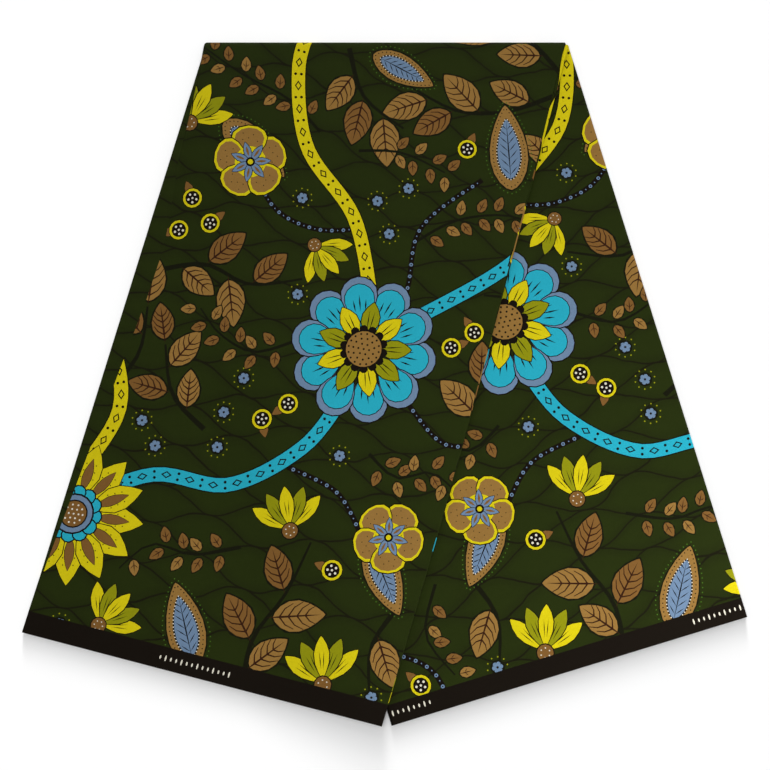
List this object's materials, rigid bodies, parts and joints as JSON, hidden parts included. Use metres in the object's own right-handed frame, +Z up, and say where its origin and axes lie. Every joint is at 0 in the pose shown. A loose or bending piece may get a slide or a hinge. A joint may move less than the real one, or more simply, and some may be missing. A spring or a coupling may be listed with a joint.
{
  "type": "head wrap",
  "caption": "Printed cotton head wrap, folded lengthwise to a flat strip and turned over itself so that its two leaves splay from a rolled top fold.",
  "frame": {"origin": "on the surface that the wrap lies on, below the middle of its bounding box", "axes": "+Z up; +Y towards the rolled top fold; +X towards the rear leaf, which splays to the right"},
  "size_m": [0.602, 0.6012, 0.0103],
  "materials": {
    "printed_cotton": "matt printed cotton with a slight sheen, dark green ground with turquoise, yellow and brown flowers",
    "hidden_cotton": "matt cotton, the dark selvedges of the inner plies"
  },
  "bodies": {
    "root": {"front_wrap": "printed_cotton", "turn_wrap": "printed_cotton", "rear_wrap": "printed_cotton", "hidden_layers": "hidden_cotton"}
  },
  "joints": []
}
